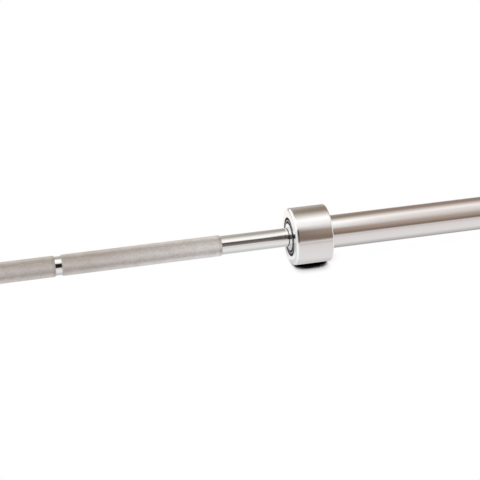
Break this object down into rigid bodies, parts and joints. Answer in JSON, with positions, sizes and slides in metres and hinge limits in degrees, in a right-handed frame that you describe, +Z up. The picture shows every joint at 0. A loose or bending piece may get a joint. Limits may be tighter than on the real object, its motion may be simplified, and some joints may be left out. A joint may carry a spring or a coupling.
{
  "type": "olympic barbell",
  "caption": "Olympic barbell: knurled steel shaft with ring marks, and thick-collared sleeves for weight plates that spin on sealed ball and needle bearings.",
  "frame": {"origin": "middle of the bar, on its axis", "axes": "+X along the bar towards the end that the picture shows, +Z up, the bar lying level"},
  "size_m": [2.2, 0.086, 0.086],
  "materials": {
    "shaft_steel": "polished plain lengths, matte knurl",
    "satin_steel": "satin turned",
    "bearing_steel": "ground",
    "polished_steel": "polished",
    "black_spring_steel": "black phosphate",
    "seal_rubber": "matte",
    "cage_polyamide": "moulded",
    "bronze": "turned"
  },
  "bodies": {
    "shaft": {"shaft": "shaft_steel", "right_bearing_inner_race": "bearing_steel", "right_inner_thrust_washer": "bronze", "right_outer_thrust_washer": "bronze", "right_shaft_circlip": "black_spring_steel", "left_bearing_inner_race": "bearing_steel", "left_inner_thrust_washer": "bronze", "left_outer_thrust_washer": "bronze", "left_shaft_circlip": "black_spring_steel"},
    "right_sleeve": {"right_collar": "satin_steel", "right_sleeve_tube": "satin_steel", "right_bearing_circlip": "black_spring_steel", "right_bearing_outer_race": "bearing_steel", "right_bearing_front_seal": "seal_rubber", "right_bearing_rear_seal": "seal_rubber", "right_inner_needle_housing": "bearing_steel", "right_inner_needle_cup": "bearing_steel", "right_outer_needle_housing": "bearing_steel", "right_outer_needle_cup": "bearing_steel", "right_end_cap": "satin_steel", "right_end_cap_circlip": "black_spring_steel"},
    "right_ball_set": {"right_bearing_balls": "polished_steel", "right_bearing_cage": "cage_polyamide"},
    "right_inner_needle_set": {"right_inner_needle_rollers": "polished_steel", "right_inner_needle_cage": "cage_polyamide"},
    "right_outer_needle_set": {"right_outer_needle_rollers": "polished_steel", "right_outer_needle_cage": "cage_polyamide"},
    "left_sleeve": {"left_collar": "satin_steel", "left_sleeve_tube": "satin_steel", "left_bearing_circlip": "black_spring_steel", "left_bearing_outer_race": "bearing_steel", "left_bearing_front_seal": "seal_rubber", "left_bearing_rear_seal": "seal_rubber", "left_inner_needle_housing": "bearing_steel", "left_inner_needle_cup": "bearing_steel", "left_outer_needle_housing": "bearing_steel", "left_outer_needle_cup": "bearing_steel", "left_end_cap": "satin_steel", "left_end_cap_circlip": "black_spring_steel"},
    "left_ball_set": {"left_bearing_balls": "polished_steel", "left_bearing_cage": "cage_polyamide"},
    "left_inner_needle_set": {"left_inner_needle_rollers": "polished_steel", "left_inner_needle_cage": "cage_polyamide"},
    "left_outer_needle_set": {"left_outer_needle_rollers": "polished_steel", "left_outer_needle_cage": "cage_polyamide"}
  },
  "joints": [
    {"name": "right_sleeve_spin", "type": "hinge", "parent": "shaft", "child": "right_sleeve", "pos_m": [0.875, 0, 0], "axis": [1, 0, 0], "continuous": true},
    {"name": "right_ball_set_spin", "type": "hinge", "parent": "shaft", "child": "right_ball_set", "pos_m": [0.66652, 0, 0], "axis": [1, 0, 0], "continuous": true},
    {"name": "right_inner_needle_spin", "type": "hinge", "parent": "shaft", "child": "right_inner_needle_set", "pos_m": [0.69482, 0, 0], "axis": [1, 0, 0], "continuous": true},
    {"name": "right_outer_needle_spin", "type": "hinge", "parent": "shaft", "child": "right_outer_needle_set", "pos_m": [1.0653, 0, 0], "axis": [1, 0, 0], "continuous": true},
    {"name": "left_sleeve_spin", "type": "hinge", "parent": "shaft", "child": "left_sleeve", "pos_m": [-0.875, 0, 0], "axis": [1, 0, 0], "continuous": true},
    {"name": "left_ball_set_spin", "type": "hinge", "parent": "shaft", "child": "left_ball_set", "pos_m": [-0.66652, 0, 0], "axis": [1, 0, 0], "continuous": true},
    {"name": "left_inner_needle_spin", "type": "hinge", "parent": "shaft", "child": "left_inner_needle_set", "pos_m": [-0.69482, 0, 0], "axis": [1, 0, 0], "continuous": true},
    {"name": "left_outer_needle_spin", "type": "hinge", "parent": "shaft", "child": "left_outer_needle_set", "pos_m": [-1.0653, 0, 0], "axis": [1, 0, 0], "continuous": true}
  ],
  "couplings": [
    {"joint": "right_ball_set_spin", "follows": "right_sleeve_spin", "ratio": 0.58571},
    {"joint": "right_inner_needle_spin", "follows": "right_sleeve_spin", "ratio": 0.54364},
    {"joint": "right_outer_needle_spin", "follows": "right_sleeve_spin", "ratio": 0.54364},
    {"joint": "left_ball_set_spin", "follows": "left_sleeve_spin", "ratio": 0.58571},
    {"joint": "left_inner_needle_spin", "follows": "left_sleeve_spin", "ratio": 0.54364},
    {"joint": "left_outer_needle_spin", "follows": "left_sleeve_spin", "ratio": 0.54364}
  ]
}
